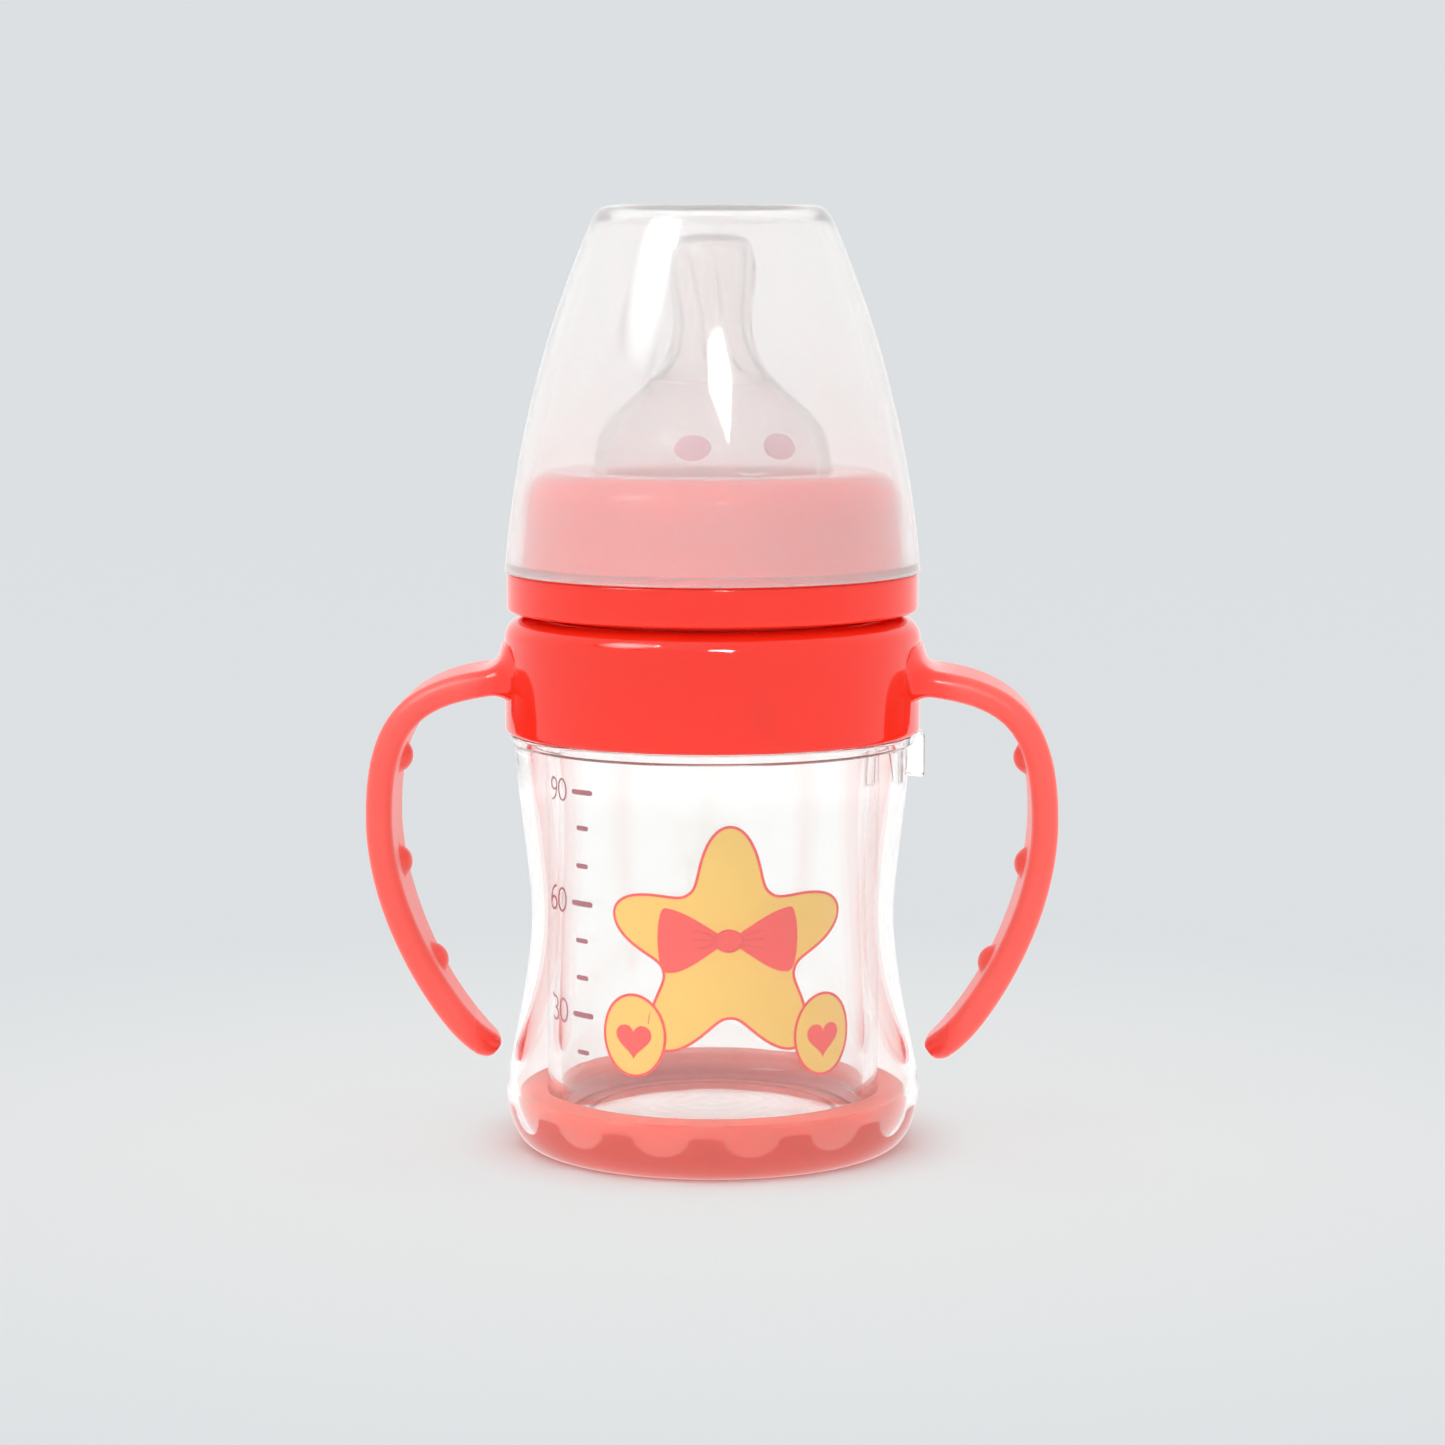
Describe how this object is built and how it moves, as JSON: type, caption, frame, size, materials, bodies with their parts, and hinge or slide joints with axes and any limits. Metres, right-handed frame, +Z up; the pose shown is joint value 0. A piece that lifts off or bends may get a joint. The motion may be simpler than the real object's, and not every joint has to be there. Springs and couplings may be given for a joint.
{
  "type": "feeding bottle with handles",
  "caption": "Wide-neck feeding bottle: glass bottle in a clear waisted outer shell on a soft base ring, red handle collar and screw ring, ribbed teat under a clear dust cap.",
  "frame": {"origin": "on the bottle's axis, at the face it stands on", "axes": "+Z up along the bottle's axis; the two handles lie along +X and -X; the printed front faces -Y"},
  "size_m": [0.1062, 0.0642, 0.1447],
  "materials": {
    "cap_plastic": "milky clear polypropylene, smooth with fine scuffs",
    "silicone": "clear soft silicone, satin",
    "red_plastic": "glossy warm red polypropylene",
    "gasket_silicone": "milky soft silicone",
    "glass": "clear pressed glass, polished",
    "shell_plastic": "clear hard plastic, polished",
    "red_silicone": "translucent soft red silicone, matt",
    "print_yellow": "fired screen print, warm yellow",
    "print_red": "fired screen print, red",
    "print_scale": "fired screen print, dark red"
  },
  "bodies": {
    "bottle": {"outer_shell": "shell_plastic", "base_cushion": "red_silicone", "glass_bottle": "glass", "shoulder_gasket": "gasket_silicone"},
    "collar": {"handle_collar": "red_plastic"},
    "teat": {"teat": "silicone"},
    "ring": {"screw_ring": "red_plastic"},
    "cap": {"dust_cap": "cap_plastic"}
  },
  "joints": [
    {"name": "collar_twist", "type": "hinge", "parent": "bottle", "child": "collar", "pos_m": [0, 0, 0.07], "axis": [0, 0, 1], "range_deg": [0, 28]},
    {"name": "teat_rise", "type": "slide", "parent": "bottle", "child": "teat", "axis": [0, 0, 1], "range_m": [0, 0.00563]},
    {"name": "ring_turn", "type": "hinge", "parent": "teat", "child": "ring", "pos_m": [0, 0, 0.094], "axis": [0, 0, 1], "range_deg": [0, 450]},
    {"name": "cap_lift", "type": "slide", "parent": "ring", "child": "cap", "axis": [0, 0, 1], "range_m": [0, 0.075]}
  ],
  "couplings": [
    {"joint": "teat_rise", "follows": "ring_turn", "m_per_rad": 0.0007162}
  ]
}
